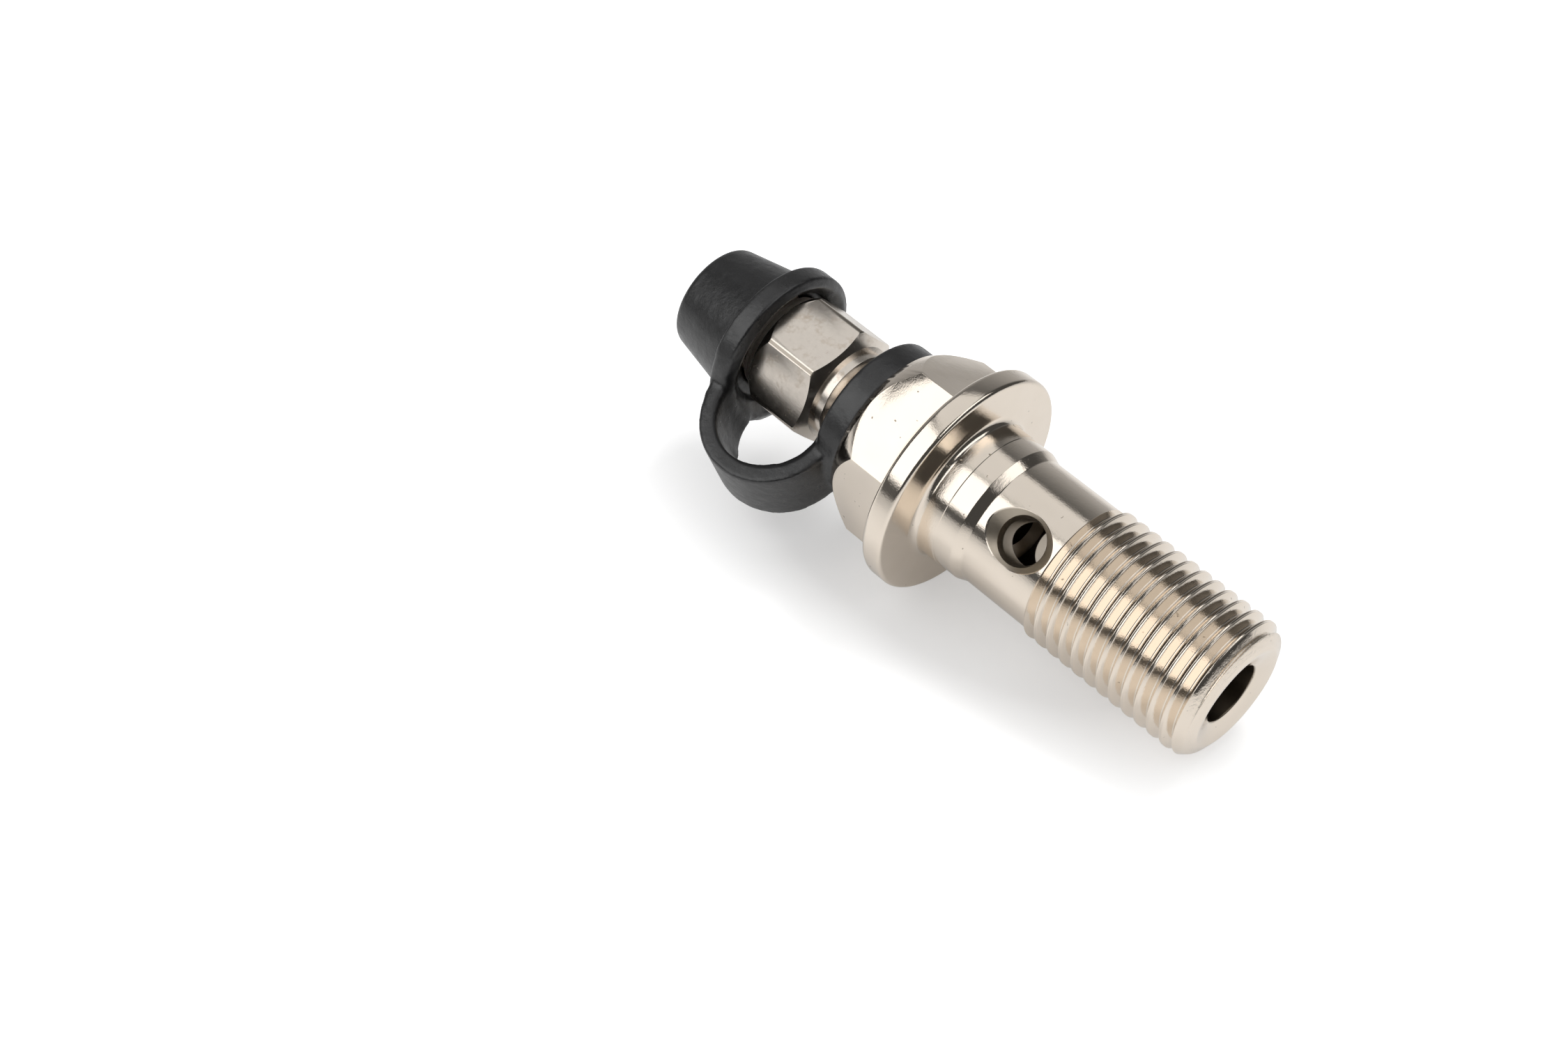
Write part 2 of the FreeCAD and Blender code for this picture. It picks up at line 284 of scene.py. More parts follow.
def thread_bar(name, crest_radius, depth, crest_place, start, end):
    """Right-hand thread over its whole length, with both ends closed to a point on the axis."""
    crest_half = 0.1
    flank = depth * math.tan(math.radians(30))
    root_half = PITCH / 2 - crest_half - flank
    root = crest_radius - depth
    groove = 0.03
    corners = [
        (-PITCH / 2, root, 0),
        (-PITCH / 2 + root_half, root, 0.06),
        (-crest_half, crest_radius, 0.04),
        (0, crest_radius - groove, 0),
        (crest_half, crest_radius, 0.04),
        (PITCH / 2 - root_half, root, 0.06),
        (PITCH / 2, root, 0),
    ]
    turns = math.ceil((end - start) / PITCH) + 1
    first = crest_place + math.floor(start - crest_place) * PITCH
    points = [(first + p[0], p[1]) for p in rounded(corners, 3)]
    bar = draw_section(name, points)
    finish_modifier(bar, "SCREW", axis="X", angle=2 * math.pi, screw_offset=PITCH, iterations=turns,
                    steps=96, render_steps=96, use_merge_vertices=False)
    edit()
    bpy.ops.mesh.select_all(action="SELECT")
    bpy.ops.mesh.remove_doubles(threshold=0.0005)
    object_mode()
    for low in (True, False):
        middle = (first + first + turns * PITCH) / 2
        edit()
        bpy.ops.mesh.select_all(action="DESELECT")
        bpy.ops.mesh.select_mode(type="EDGE")
        bpy.ops.mesh.select_non_manifold(extend=False)
        object_mode()
        for edge in bar.data.edges:
            here = sum(bar.data.vertices[v].co.x for v in edge.vertices) / 2
            if (here < middle) != low:
                edge.select = False
        edit()
        bpy.ops.mesh.select_mode(type="EDGE")
        bpy.ops.mesh.extrude_edges_move()
        bpy.ops.mesh.merge(type="CENTER")
        object_mode()
    edit()
    bpy.ops.mesh.select_mode(type="VERT")
    bpy.ops.mesh.select_all(action="SELECT")
    bpy.ops.mesh.normals_make_consistent(inside=False)
    object_mode()
    return bar


def bolt_body():
    """Banjo bolt with its cut thread, cross hole and bores."""
    flat = HEAD_ACROSS_FLATS / 2
    corner = flat / math.cos(math.pi / 6)
    slope = (corner - flat) / HEAD_CHAMFER_LENGTH
    outside = corner + OVERRUN
    bolt = hexagon_bar("bolt_body", HEAD_ACROSS_FLATS, HEAD_CORNER_ANGLE, HEAD_FACE - OVERRUN, -0.6)
    chamfer = turned("head_chamfer", [
        (HEAD_FACE, flat - HEAD_EDGE_DEPTH, 0),
        (HEAD_FACE + HEAD_EDGE_LENGTH, flat, 0.3),
        (HEAD_FACE + HEAD_EDGE_LENGTH + (outside - flat) / slope, outside, 0),
        (0, outside, 0),
    ], steps=4)
    combine(bolt, chamfer, "INTERSECT")
    finish_modifier(bolt, "BEVEL", width=HEAD_EDGE_ROUND, segments=3, limit_method="ANGLE",
                    angle_limit=math.radians(24))

    back_edge = FLANGE_RADIUS
    foot = flat - OVERRUN
    shank = turned("shank", [
        (FLANGE_BACK - (back_edge - foot) * FLANGE_BACK_SLOPE, foot, 0),
        (FLANGE_BACK, back_edge, FLANGE_BACK_ROUND),
        (0, FLANGE_RADIUS, FLANGE_FRONT_ROUND),
        (0, SHOULDER_RADIUS, SEAT_FILLET),
        (SHOULDER_BAND, SHOULDER_RADIUS, 0.02),
        (SHOULDER_BAND + SHOULDER_BAND_DEPTH, SHOULDER_RADIUS - SHOULDER_BAND_DEPTH, 0.02),
        (SHOULDER_END, SHOULDER_RADIUS - SHOULDER_BAND_DEPTH, 0.15),
        (WAIST_START, WAIST_RADIUS, 0.3),
        (THREAD_START, WAIST_RADIUS, 0),
        (THREAD_START, WAIST_RADIUS - THREAD_DEPTH, 0),
    ])
    combine(bolt, shank, "UNION")

    thread = thread_bar("thread", THREAD_RADIUS, THREAD_DEPTH, CREST_PLACE, THREAD_START - 1.5, BOLT_END + 1)
    lead = 0.4
    clear = 0.35
    end_slope = (THREAD_RADIUS - END_CHAMFER_RADIUS) / (END_CHAMFER - THREAD_END)
    ends = turned("thread_ends", [
        (THREAD_START - lead, WAIST_RADIUS - lead * THREAD_LEAD_SLOPE, 0),
        (THREAD_START + clear / THREAD_LEAD_SLOPE + 0.25, THREAD_RADIUS + clear, 0),
        (THREAD_END - clear / end_slope, THREAD_RADIUS + clear, 0),
        (END_CHAMFER, END_CHAMFER_RADIUS, 0.5),
        (BOLT_END, END_LIP_RADIUS + 0.2, 0.35),
        (BOLT_END, END_LIP_RADIUS - 0.3, 0),
    ])
    combine(thread, ends, "INTERSECT")
    combine(bolt, thread, "UNION")

    mouth = SCREW_BORE_RADIUS + SCREW_BORE_CHAMFER
    bores = turned("bores", [
        (HEAD_FACE - OVERRUN, mouth + OVERRUN, 0),
        (HEAD_FACE + SCREW_BORE_CHAMFER, SCREW_BORE_RADIUS, 0),
        (SCREW_BORE_END, SCREW_BORE_RADIUS, 0),
        (PASSAGE_START, PASSAGE_RADIUS, 0),
        (PASSAGE_END, PASSAGE_RADIUS, 0),
        (BORE_START, BORE_RADIUS, 0),
        (BOLT_END - END_DISH, BORE_RADIUS, 0.12),
        (BOLT_END, END_LIP_RADIUS, 0),
        (BOLT_END + OVERRUN, END_LIP_RADIUS + OVERRUN, 0),
    ])
    combine(bolt, bores, "DIFFERENCE")

    reach = WAIST_RADIUS + OVERRUN
    sink_depth = (CROSS_SINK_RADIUS - CROSS_SINK_FLOOR) / math.tan(math.radians(50))
    drill = turned("cross_drill", [
        (-reach, CROSS_SINK_RADIUS + OVERRUN * 1.19, 0),
        (-WAIST_RADIUS + sink_depth, CROSS_SINK_FLOOR, 0.08),
        (-WAIST_RADIUS + sink_depth + 0.5, CROSS_HOLE_RADIUS, 0.15),
        (WAIST_RADIUS - sink_depth - 0.5, CROSS_HOLE_RADIUS, 0.15),
        (WAIST_RADIUS - sink_depth, CROSS_SINK_FLOOR, 0.08),
        (reach, CROSS_SINK_RADIUS + OVERRUN * 1.19, 0),
    ], sides=96)
    upright = Matrix.Rotation(-math.pi / 2, 4, "Y")
    turn = Matrix.Rotation(math.radians(CROSS_HOLE_ANGLE), 4, "X")
    set_down(drill, Matrix.Translation((CROSS_HOLE_PLACE, 0, 0)) @ turn @ upright)
    combine(bolt, drill, "DIFFERENCE")
    return weld(bolt)


def screw_body():
    """Bleed screw: hexagon, threaded shank with a cone tip, and hose nipple."""
    flat = HEX_ACROSS_FLATS / 2
    screw = hexagon_bar("screw_body", HEX_ACROSS_FLATS, HEX_CORNER_ANGLE, HEX_END - OVERRUN, HEX_START + OVERRUN)
    envelope = turned("hex_chamfers", [
        (HEX_END - (flat - HEX_CONE_RADIUS) * HEX_END_CHAMFER, HEX_CONE_RADIUS, 0),
        (HEX_END + (HEX_CORNER_RADIUS - flat) * HEX_END_CHAMFER, HEX_CORNER_RADIUS, 0.1),
        (HEX_START - (HEX_CORNER_RADIUS - HEX_FACE_RADIUS) * HEX_CHAMFER, HEX_CORNER_RADIUS, 0.1),
        (HEX_START, HEX_FACE_RADIUS, 0),
    ], steps=3)
    combine(screw, envelope, "INTERSECT")
    finish_modifier(screw, "BEVEL", width=0.05, segments=2, limit_method="ANGLE", angle_limit=math.radians(24))
    core = turned("screw_core", [
        (NIPPLE_END, NIPPLE_RADIUS, 0),
        (BARB_START, BARB_RADIUS, 0.1),
        (BARB_START, STEM_RADIUS, 0),
        (SCREW_COLLAR_END, STEM_RADIUS, 0),
        (SCREW_COLLAR_END, HEX_CONE_RADIUS - 0.1, 0.1),
        (HEX_END + OVERRUN, HEX_CONE_RADIUS - 0.1, 0),
        (HEX_END + OVERRUN, NECK_RADIUS, 0),
        (NECK_START, NECK_RADIUS, 0.05),
        (NECK_START + 0.3, SCREW_THREAD_RADIUS - SCREW_THREAD_DEPTH - 0.05, 0),
        (SCREW_THREAD_END, SCREW_THREAD_RADIUS - SCREW_THREAD_DEPTH - 0.05, 0),
        (SCREW_THREAD_END, RELIEF_RADIUS, 0),
        (TIP_START, RELIEF_RADIUS, 0.1),
        (TIP_END, TIP_RADIUS, 0),
    ], sides=96)
    combine(screw, core, "UNION")
    thread = thread_bar("screw_thread", SCREW_THREAD_RADIUS, SCREW_THREAD_DEPTH, -9.6, NECK_START - 1.5,
                        SCREW_THREAD_END + 1)
    ends = turned("screw_thread_ends", [
        (NECK_START - 0.2, NECK_RADIUS - 0.2, 0),
        (NECK_START, NECK_RADIUS, 0),
        (SCREW_THREAD_END - 0.6, NECK_RADIUS, 0),
        (SCREW_THREAD_END, SCREW_THREAD_RADIUS - 0.4, 0),
    ], sides=96)
    combine(thread, ends, "INTERSECT")
    combine(screw, thread, "UNION")
    drilling = turned("drilling", [
        (NIPPLE_END - OVERRUN, DRILLING_RADIUS, 0),
        (PORT_PLACE + DRILLING_RADIUS, DRILLING_RADIUS, 0),
    ], sides=48)
    combine(screw, drilling, "DIFFERENCE")
    port = turned("port", [(-RELIEF_RADIUS - OVERRUN, PORT_RADIUS, 0), (RELIEF_RADIUS + OVERRUN, PORT_RADIUS, 0)],
                  sides=48)
    set_down(port, Matrix.Translation((PORT_PLACE, 0, 0)) @ Matrix.Rotation(math.pi / 2, 4, "Y"))
    combine(screw, port, "DIFFERENCE")
    return weld(screw)


def pick(piece, test):
    """Selects the vertices whose place passes the test, and leaves the piece in edit mode."""
    edit()
    bpy.ops.mesh.select_mode(type="VERT")
    bpy.ops.mesh.select_all(action="DESELECT")
    object_mode()
    for vertex in piece.data.vertices:
        vertex.select = test(vertex.co)
    edit()


def arc_angle(point, middle):
    """Angle along the strap's arc: 0 at the ring, 180 at the collar."""
    return math.degrees(math.atan2(point.z - STRAP_CENTRE, point.x - middle))


def inner_wall(point, middle, inner):
    return point.z > STRAP_CENTRE - 0.5 and math.hypot(point.x - middle, point.z - STRAP_CENTRE) < inner + 0.6


def strap_band():
    """The loop strap: a flat section drawn out of the collar, round and back to the ring."""
    collar_side = MOUTH - STRAP_SETBACK
    ring_side = RING_START + STRAP_SETBACK
    thickness = STRAP_THICKNESS + STRAP_EXTRA
    inner = (ring_side - collar_side) / 2 - STRAP_EXTRA
    middle = (ring_side + collar_side) / 2
    bpy.ops.object.select_all(action="DESELECT")
    bpy.ops.mesh.primitive_plane_add(size=1)
    band = bpy.context.object
    band.name = "strap_band"
    edit()
    bpy.ops.mesh.select_all(action="SELECT")
    bpy.ops.transform.resize(value=(thickness, STRAP_WIDTH, 1))
    bpy.ops.transform.translate(value=(middle - inner - thickness / 2, 0, STRAP_CENTRE - 3.5))
    bpy.ops.mesh.extrude_region_move(TRANSFORM_OT_translate={"value": (0, 0, 3.5)})
    bpy.ops.mesh.spin(steps=48, angle=-math.pi, center=(middle, 0, STRAP_CENTRE), axis=(0, 1, 0))
    bpy.ops.mesh.extrude_region_move(TRANSFORM_OT_translate={"value": (0, 0, -3.5)})
    bpy.ops.mesh.select_all(action="SELECT")
    bpy.ops.mesh.remove_doubles(threshold=0.0005)
    bpy.ops.mesh.normals_make_consistent(inside=False)
    pick(band, lambda v: v.x > middle and math.hypot(v.x - middle, max(v.z - STRAP_CENTRE, 0)) < inner + 0.05)
    bpy.ops.transform.translate(value=(-STRAP_ROOT, 0, 0))
    for height in (5.6, 6.6, 7.6):
        pick(band, lambda v: v.x < middle - inner - 0.6 and v.z < height)
        bpy.ops.transform.translate(value=(-STRAP_FLARE, 0, 0))
    for reach in (48, 38, 28):
        pick(band, lambda v: inner_wall(v, middle, inner) and abs(arc_angle(v, middle) - 155) < reach and v.y < 0)
        bpy.ops.transform.translate(value=(STRAP_LEAN, 0, -STRAP_LEAN / 4))
    object_mode()
    set_down(band, Matrix.Rotation(math.radians(STRAP_ANGLE), 4, "X"))
    return band


def aside(distance, angle):
    """Matrix that moves a piece off the axis."""
    way = Matrix.Rotation(math.radians(angle), 4, "X") @ Vector((0, 0, distance))
    return Matrix.Translation(way)


def cap_moulding():
    """Rubber cap, loop strap and retaining ring in one piece. The cap sits a little askew."""
    cap = turned("cap_moulding", [
        (CAP_END, CAP_TIP_RADIUS, 0.5),
        (COLLAR_BACK, CAP_BASE_RADIUS, 0.4),
        (COLLAR_BACK, COLLAR_RADIUS, 0.2),
        (MOUTH - 0.22, COLLAR_RADIUS, 0.12),
        (MOUTH_RIM, MOUTH_RIM_RADIUS, 0.1),
    ], sides=128)
    set_down(cap, aside(CAP_SHIFT, CAP_SHIFT_ANGLE))
    combine(cap, strap_band(), "UNION")
    cavity = turned("cavity", [
        (MOUTH - MOUTH_DEPTH + OVERRUN / 2, BARB_RADIUS + CAVITY_PLAY, 0),
        (BARB_START, BARB_RADIUS + CAVITY_PLAY, 0),
        (NIPPLE_END, NIPPLE_RADIUS + CAVITY_PLAY, 0),
        (NIPPLE_END - CAVITY_GAP, NIPPLE_RADIUS + CAVITY_PLAY, 0),
    ], sides=96)
    combine(cap, cavity, "DIFFERENCE")
    mouth = turned("mouth", [
        (MOUTH_RIM + OVERRUN, MOUTH_RIM_RADIUS + OVERRUN, 0),
        (MOUTH_RIM - 0.1, MOUTH_RIM_RADIUS - 0.1, 0.1),
        (MOUTH - 0.5, MOUTH_RADIUS, 0.2),
        (MOUTH - MOUTH_DEPTH, MOUTH_RADIUS, 0),
    ], sides=96)
    set_down(mouth, aside(CAP_SHIFT / 2, CAP_SHIFT_ANGLE))
    combine(cap, mouth, "DIFFERENCE")
    ring = turned("ring", [
        (RING_START, RING_RADIUS, 0.2),
        (RING_END, RING_RADIUS, 0.2),
    ], sides=128)
    combine(cap, ring, "UNION")
    hole = turned("ring_hole", [
        (RING_START - OVERRUN, SCREW_THREAD_RADIUS + RUBBER_FIT, 0),
        (RING_END + OVERRUN, SCREW_THREAD_RADIUS + RUBBER_FIT, 0),
    ], sides=96)
    combine(cap, hole, "DIFFERENCE")
    finish_modifier(cap, "REMESH", mode="VOXEL", voxel_size=0.11, use_smooth_shade=True)
    finish_modifier(cap, "SMOOTH", factor=0.5, iterations=4)
    way = Matrix.Rotation(math.radians(STRAP_ANGLE), 3, "X") @ Vector((0, 0, 1))
    pick(cap, lambda v: v.dot(way) > 4.2 and v.x > COLLAR_BACK - 0.3)
    bpy.ops.mesh.vertices_smooth(factor=0.5, repeat=10)
    pick(cap, lambda v: 4.4 < v.dot(way) < 7.2 and v.x > COLLAR_BACK - 0.5)
    bpy.ops.mesh.vertices_smooth(factor=0.5, repeat=20)
    object_mode()
    return cap


def node(tree, kind, inputs=None, **values):
    made = tree.nodes.new(kind)
    for key, value in values.items():
        setattr(made, key, value)
    for key, value in (inputs or {}).items():
        if isinstance(value, bpy.types.NodeSocket):
            tree.links.new(value, made.inputs[key])
        else:
            made.inputs[key].default_value = value
    return made


def new_material(name):
    material = bpy.data.materials.new(name)
    material.use_nodes = True
    tree = material.node_tree
    shader = tree.nodes["Principled BSDF"]
    return material, tree, shader


def axis_coordinates(tree):
    """Place on the piece in the bolt's own frame, in millimetres."""
    coordinates = node(tree, "ShaderNodeTexCoord")
    turn = PLACE.to_euler()
    mapping = node(tree, "ShaderNodeMapping", {
        "Vector": coordinates.outputs["Object"],
        "Location": SEAT,
        "Rotation": turn,
        "Scale": (MM, MM, MM),
    }, vector_type="TEXTURE")
    return mapping.outputs["Vector"]


def noise(tree, place, scale, detail=3.0, roughness=0.5):
    return node(tree, "ShaderNodeTexNoise", {
        "Vector": place, "Scale": scale, "Detail": detail, "Roughness": roughness,
    }).outputs["Fac"]


def spread(tree, value, low, high, to_low, to_high):
    return node(tree, "ShaderNodeMapRange", {
        "Value": value, "From Min": low, "From Max": high, "To Min": to_low, "To Max": to_high,
    }).outputs["Result"]


def radius_of(tree, place):
    """Distance from the bolt's axis and place along it."""
    parts = node(tree, "ShaderNodeSeparateXYZ", {"Vector": place})
    flat = node(tree, "ShaderNodeCombineXYZ", {"Y": parts.outputs["Y"], "Z": parts.outputs["Z"]})
    length = node(tree, "ShaderNodeVectorMath", {0: flat.outputs["Vector"]}, operation="LENGTH")
    return length.outputs["Value"], parts.outputs["X"]


def math_node(tree, operation, a, b):
    return node(tree, "ShaderNodeMath", {0: a, 1: b}, operation=operation).outputs[0]


def corner_distance(tree, place):
    """Distance round the small hexagon from its nearest corner, in millimetres."""
    parts = node(tree, "ShaderNodeSeparateXYZ", {"Vector": place})
    front = math_node(tree, "MULTIPLY", parts.outputs["Y"], -1.0)
    angle = math_node(tree, "ARCTAN2", front, parts.outputs["Z"])
    angle = math_node(tree, "SUBTRACT", angle, math.radians(HEX_CORNER_ANGLE))
    angle = math_node(tree, "PINGPONG", angle, math.pi / 6)
    return math_node(tree, "MULTIPLY", angle, HEX_CORNER_RADIUS)


def mixed(tree, factor, a, b):
    """Mix of two colours by a factor."""
    mix = node(tree, "ShaderNodeMix", data_type="RGBA")
    tree.links.new(factor, mix.inputs["Factor"])
    for slot, value in ((6, a), (7, b)):
        if isinstance(value, bpy.types.NodeSocket):
            tree.links.new(value, mix.inputs[slot])
        else:
            mix.inputs[slot].default_value = (*value, 1)
    return mix.outputs[2]


def bumped(tree, shader, layers):
    """Stacks bump layers (height, depth in millimetres) on the shader."""
    normal = None
    for height, depth in layers:
        bump = node(tree, "ShaderNodeBump", {"Strength": 1.0, "Distance": depth * MM, "Height": height})
        if normal:
            tree.links.new(normal, bump.inputs["Normal"])
        normal = bump.outputs["Normal"]
    tree.links.new(normal, shader.inputs["Normal"])


def nickel_plate():
    """Bright warm nickel: orange peel, faint turning lines, dings, rougher drilled insides with painted shade
    darkening their colour, and painted dark shade deep in the axial bore.
    """
    material, tree, shader = new_material("nickel_plate")
    place = axis_coordinates(tree)
    radius, along = radius_of(tree, place)
    shader.inputs["Metallic"].default_value = 1.0
    tint = mixed(tree, noise(tree, place, 0.6, 4), (0.89, 0.80, 0.70), (0.84, 0.75, 0.64))
    dings = spread(tree, noise(tree, place, 2.6, 2), 0.73, 0.78, 0, 1)
    tint = mixed(tree, dings, tint, (0.35, 0.29, 0.22))
    inside = math_node(tree, "MULTIPLY", spread(tree, radius, 4.35, 4.2, 0, 1), spread(tree, along, 3.0, 3.2, 0, 1))
    inside = math_node(tree, "MULTIPLY", inside, spread(tree, along, 21.65, 21.55, 0, 1))
    sink = math_node(tree, "MULTIPLY", spread(tree, radius, 4.61, 4.55, 0, 1), spread(tree, along, 4.0, 4.1, 0, 1))
    sink = math_node(tree, "MULTIPLY", sink, spread(tree, along, 9.1, 9.0, 0, 1))
    inside = math_node(tree, "MAXIMUM", inside, sink)
    # The drilled insides are rougher, and their colour is darkened: painted shade in the recesses.
    tint = mixed(tree, inside, tint, (0.5, 0.44, 0.36))
    # Painted dark shade deep inside the axial bore.
    bore_painted_shade = math_node(tree, "MULTIPLY", inside, spread(tree, radius, BORE_RADIUS + 0.1, BORE_RADIUS + 0.04, 0, 1))
    tint = mixed(tree, bore_painted_shade, tint, (0.16, 0.13, 0.1))
    tree.links.new(tint, shader.inputs["Base Color"])
    rough = spread(tree, noise(tree, place, 1.5, 5, 0.7), 0.3, 0.7, 0.05, 0.1)
    rough = math_node(tree, "ADD", rough, math_node(tree, "MULTIPLY", inside, 0.3))
    tree.links.new(rough, shader.inputs["Roughness"])
    worn = spread(tree, along, END_CHAMFER - 0.6, END_CHAMFER - 0.2, 0, 1)
    worn = math_node(tree, "MULTIPLY", worn, spread(tree, radius, 3.7, 3.9, 0, 1))
    ring_place = node(tree, "ShaderNodeCombineXYZ", {"X": along, "Y": radius}).outputs["Vector"]
    bumped(tree, shader, [
        (noise(tree, place, 9.0, 4, 0.65), 0.005),
        (math_node(tree, "MULTIPLY", noise(tree, place, 4.0, 4, 0.7), worn), 0.05),
        (noise(tree, place, 1.6, 2, 0.5), 0.006),
        (noise(tree, ring_place, 14.0, 3, 0.6), 0.0016),
        (dings, -0.01),
    ])
    return material


def screw_steel():
    """Dull drawn steel with faint brown stains and lengthwise drawing lines on the hexagon."""
    material, tree, shader = new_material("screw_steel")
    place = axis_coordinates(tree)
    shader.inputs["Metallic"].default_value = 1.0
    stain = spread(tree, noise(tree, place, 0.75, 6, 0.7), 0.52, 0.7, 0, 1)
    tint = mixed(tree, stain, (0.82, 0.75, 0.67), (0.66, 0.56, 0.46))
    specks = spread(tree, noise(tree, place, 9.0, 2, 0.5), 0.74, 0.8, 0, 1)
    tint = mixed(tree, specks, tint, (0.4, 0.34, 0.27))
    radius, along = radius_of(tree, place)
    # The hexagon's turned corner strips are painted darker: painted shade standing in for the dimmer light they
    # mirror.
    corners = spread(tree, radius, HEX_CORNER_RADIUS - 0.02, HEX_CORNER_RADIUS - 0.01, 0, 1)
    corners = math_node(tree, "MULTIPLY", corners, spread(tree, corner_distance(tree, place), 0.13, 0.09, 0, 1))
    tint = mixed(tree, corners, tint, (0.36, 0.32, 0.27))
    tree.links.new(tint, shader.inputs["Base Color"])
    rough = spread(tree, noise(tree, place, 3.0, 5, 0.7), 0.3, 0.7, 0.2, 0.28)
    cone = spread(tree, along, HEX_END + 0.02, HEX_END - 0.02, 0, 0.45)
    tree.links.new(math_node(tree, "ADD", rough, cone), shader.inputs["Roughness"])
    stretch = node(tree, "ShaderNodeMapping", {"Vector": place, "Scale": (0.12, 1, 1)})
    bumped(tree, shader, [
        (noise(tree, stretch.outputs["Vector"], 16.0, 3, 0.6), 0.002),
        (noise(tree, place, 5.0, 4, 0.6), 0.0025),
    ])
    return material


def strap_inside(tree, place):
    """Mask of the strap's inner wall, which is dull."""
    way = Matrix.Rotation(math.radians(STRAP_ANGLE), 3, "X") @ Vector((0, 0, 1))
    out = node(tree, "ShaderNodeVectorMath", {0: place, 1: way}, operation="DOT_PRODUCT").outputs["Value"]
    along = node(tree, "ShaderNodeSeparateXYZ", {"Vector": place}).outputs["X"]
    middle = (RING_START + MOUTH) / 2
    inner = (RING_START - MOUTH) / 2 + STRAP_SETBACK - STRAP_EXTRA
    across = math_node(tree, "SUBTRACT", along, middle)
    above = math_node(tree, "MAXIMUM", math_node(tree, "SUBTRACT", out, STRAP_CENTRE), 0.0)
    flat = node(tree, "ShaderNodeCombineXYZ", {"X": across, "Y": above}).outputs["Vector"]
    reach = node(tree, "ShaderNodeVectorMath", {0: flat}, operation="LENGTH").outputs["Value"]
    wall = spread(tree, reach, inner + 0.25, inner + 0.12, 0, 1)
    return math_node(tree, "MULTIPLY", wall, spread(tree, out, 4.3, 4.9, 0, 1))


def cap_rubber():
    """Black moulded rubber with dust in its pores."""
    material, tree, shader = new_material("cap_rubber")
    place = axis_coordinates(tree)
    dust = spread(tree, noise(tree, place, 9.0, 4, 0.75), 0.66, 0.72, 0, 1)
    patches = spread(tree, noise(tree, place, 0.8, 3, 0.5), 0.35, 0.65, 0.15, 1)
    dust = math_node(tree, "MULTIPLY", dust, patches)
    tint = mixed(tree, noise(tree, place, 1.0, 4), (0.008, 0.008, 0.0085), (0.016, 0.016, 0.0165))
    tint = mixed(tree, dust, tint, (0.2, 0.195, 0.185))
    tree.links.new(tint, shader.inputs["Base Color"])
    dull = strap_inside(tree, place)
    tree.links.new(spread(tree, dull, 0, 1, 0.85, 0.22), shader.inputs["Specular IOR Level"])
    rough = spread(tree, noise(tree, place, 1.2, 5, 0.6), 0.3, 0.7, 0.26, 0.38)
    tree.links.new(rough, shader.inputs["Roughness"])
    bumped(tree, shader, [
        (noise(tree, place, 1.1, 3, 0.5), 0.06),
        (noise(tree, place, 8.0, 5, 0.7), 0.012),
    ])
    return material


def set_in_place(piece, material, body, cad_node, smooth_angle):
    """Gives a finished piece its material and its place on the CAD body that it stands for."""
    set_down(piece, PLACE @ Matrix.Scale(MM, 4))
    use(piece)
    bpy.ops.object.shade_smooth_by_angle(angle=math.radians(smooth_angle))
    piece.data.materials.clear()
    piece.data.materials.append(material)
    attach(piece, body)
    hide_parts(cad_node)


set_in_place(bolt_body(), nickel_plate(), "banjo_bolt", "banjo_bolt", 28)
set_in_place(screw_body(), screw_steel(), "bleed_screw", "bleed_screw", 28)
set_in_place(cap_moulding(), cap_rubber(), "dust_cap", "dust_cap", 60)


def studio_floor():
    bpy.ops.object.select_all(action="DESELECT")
    bpy.ops.mesh.primitive_plane_add(size=6.0, location=(0, 0, 0))
    floor = bpy.context.object
    floor.name = "studio_floor"
    material, tree, shader = new_material("studio_floor")
    shader.inputs["Base Color"].default_value = (FLOOR_LEVEL, FLOOR_LEVEL, FLOOR_LEVEL, 1)
    shader.inputs["Roughness"].default_value = 0.9
    shader.inputs["Specular IOR Level"].default_value = 0.0
    path = node(tree, "ShaderNodeLightPath")
    place = node(tree, "ShaderNodeTexCoord").outputs["Object"]
    squeezed = node(tree, "ShaderNodeMapping", {"Vector": place, "Scale": (0.4, 1, 1)})
    away = node(tree, "ShaderNodeVectorMath", {0: squeezed.outputs["Vector"]}, operation="LENGTH").outputs["Value"]
    # To the camera the floor's glow is lower right under the object: a painted shadow.
    seen = math_node(tree, "MULTIPLY", path.outputs["Is Camera Ray"],
                     spread(tree, away, 0.006, 0.013, GLOW_IN_PAINTED_SHADOW, GLOW_AROUND))
    # The floor as the metal mirrors it glows brighter near the object, a painted pool of light, and dimmer right
    # under it, a painted shadow.
    level = spread(tree, away, 0.02, 0.09, MIRRORED_PAINTED_LIGHT_NEAR, MIRRORED_FAR)
    level = math_node(tree, "MULTIPLY", level, spread(tree, away, 0.004, 0.009, MIRRORED_PAINTED_SHADOW, 1.0))
    mirrored = math_node(tree, "MULTIPLY", path.outputs["Is Glossy Ray"], level)
    glow = math_node(tree, "ADD", seen, mirrored)
    shader.inputs["Emission Color"].default_value = (1, 1, 1, 1)
    tree.links.new(glow, shader.inputs["Emission Strength"])
    floor.data.materials.append(material)


def lamp(name, azimuth, elevation, distance, width, height, radiance):
    """Soft box that faces the object. Azimuth is from +X towards +Y, in degrees."""
    a = math.radians(azimuth)
    e = math.radians(elevation)
    way = Vector((math.cos(a) * math.cos(e), math.sin(a) * math.cos(e), math.sin(e)))
    data = bpy.data.lights.new(name, "AREA")
    data.shape = "RECTANGLE"
    data.size = width
    data.size_y = height
    data.energy = radiance * math.pi * width * height
    box = bpy.data.objects.new(name, data)
    box.location = way * distance
    box.rotation_mode = "QUATERNION"
    box.rotation_quaternion = way.to_track_quat("Z", "Y")
    bpy.context.scene.collection.objects.link(box)
    return box


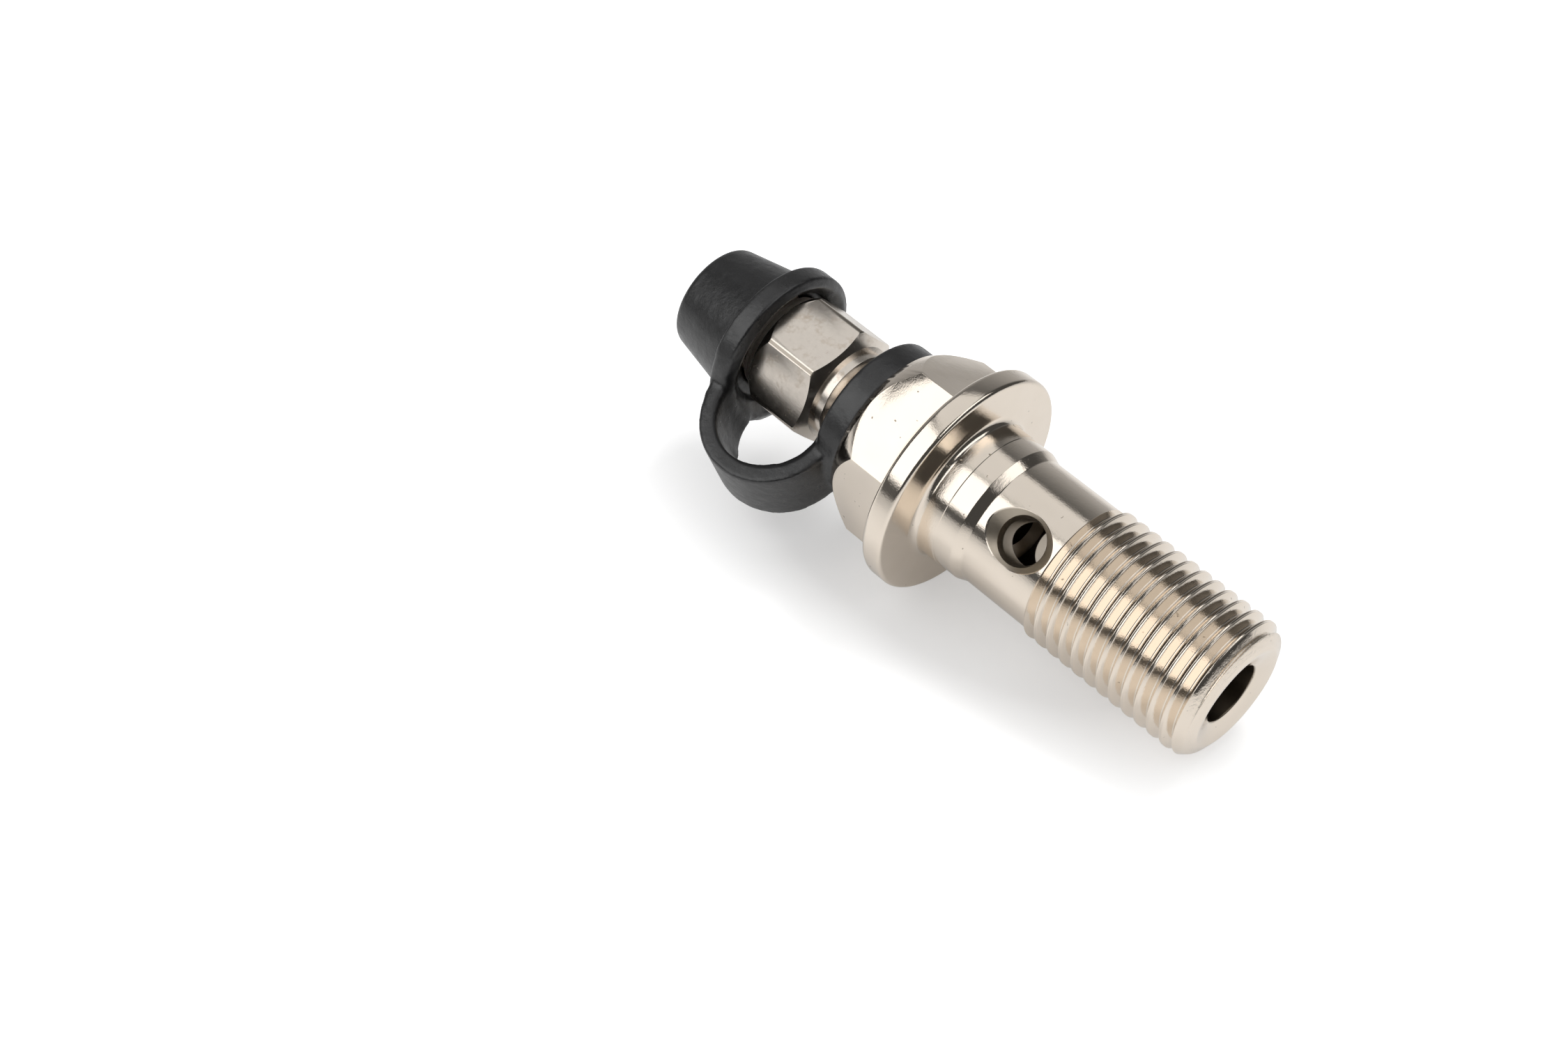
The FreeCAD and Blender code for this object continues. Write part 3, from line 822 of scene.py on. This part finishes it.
def studio_world():
    """White to the camera. The metal mirrors a dim room that lightens towards the table's edge."""
    world = bpy.data.worlds.new("studio_world")
    bpy.context.scene.world = world
    world.use_nodes = True
    tree = world.node_tree
    back = tree.nodes["Background"]
    path = node(tree, "ShaderNodeLightPath")
    coordinates = node(tree, "ShaderNodeTexCoord")
    parts = node(tree, "ShaderNodeSeparateXYZ", {"Vector": coordinates.outputs["Generated"]})
    height = spread(tree, parts.outputs["Z"], 0.0, 0.95, 1.0, 0.0)
    behind = spread(tree, parts.outputs["X"], 0.1, -0.3, 0.0, 0.38)
    front = spread(tree, parts.outputs["Y"], 0.2, -0.3, 1.0, 0.1)
    band = node(tree, "ShaderNodeMath", {0: height, 1: behind}, operation="MULTIPLY")
    band = node(tree, "ShaderNodeMath", {0: band.outputs[0], 1: front}, operation="MULTIPLY")
    level = node(tree, "ShaderNodeMath", {0: band.outputs[0], 1: ROOM_LEVEL}, operation="ADD")
    shown = node(tree, "ShaderNodeMix", {"Factor": path.outputs["Is Camera Ray"], "A": level.outputs[0], "B": 1.0})
    tree.links.new(shown.outputs["Result"], back.inputs["Strength"])
    back.inputs["Color"].default_value = (1, 1, 1, 1)


studio_floor()
studio_world()
lamp("key_box", -113, 42, 1.2, 1.2, 1.2, 1.38)
lamp("top_box", 140, 77, 1.2, 0.9, 0.85, 0.69)
lamp("side_box", 22, 57, 1.2, 1.3, 0.5, 1.3)
back = lamp("back_lamp", 86, 60, 1.2, 0.4, 0.4, 10.0)
back.visible_glossy = False

camera_data = bpy.data.cameras.new("photo_camera")
camera = bpy.data.objects.new("photo_camera", camera_data)
bpy.context.scene.collection.objects.link(camera)
camera_data.sensor_width = 36.0
camera_data.lens = 54.03
camera_data.clip_start = 0.01
camera_data.clip_end = 20
camera.matrix_world = Matrix.Translation((0.0735376, -0.0885720, 0.1034078)) @ Matrix((
    (0.699469, -0.472893, 0.535832),
    (0.714545, 0.449125, -0.536389),
    (0.012999, 0.758063, 0.652052),
)).to_4x4()
bpy.context.scene.camera = camera
bpy.context.scene.view_settings.view_transform = "Standard"
